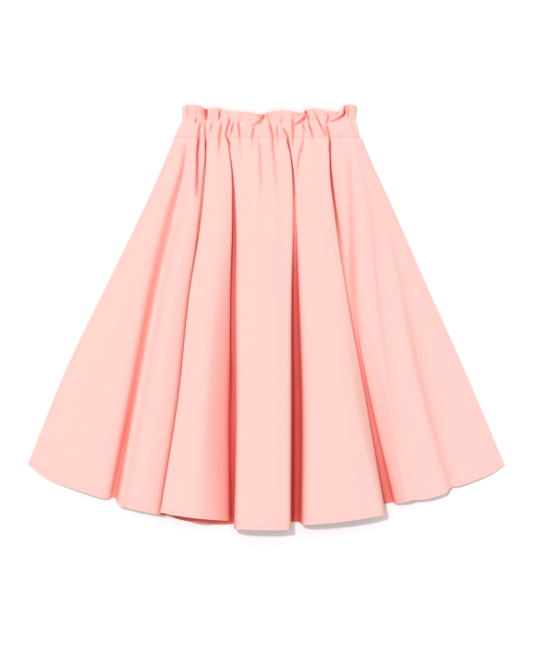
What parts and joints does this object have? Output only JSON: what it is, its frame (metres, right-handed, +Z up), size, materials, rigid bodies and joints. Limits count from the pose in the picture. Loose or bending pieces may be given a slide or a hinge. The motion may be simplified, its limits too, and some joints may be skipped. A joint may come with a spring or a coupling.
{
  "type": "gathered skirt",
  "caption": "Pink midi skirt laid flat: a gathered elastic waist with a frill above it, and a flared body whose soft folds run down to a narrow hem.",
  "frame": {"origin": "centre of the bounding box's underside, on the surface that the skirt lies on", "axes": "+X across the skirt to the right as seen in the picture, +Y from the hem towards the waist, +Z up from the surface, out of the skirt's front"},
  "size_m": [0.8822, 0.785, 0.0454],
  "materials": {
    "pink_cloth": "matte, smooth, finely woven"
  },
  "bodies": {
    "root": {"front_panel": "pink_cloth", "back_panel": "pink_cloth", "waist_casing": "pink_cloth", "waist_frill": "pink_cloth"}
  },
  "joints": []
}
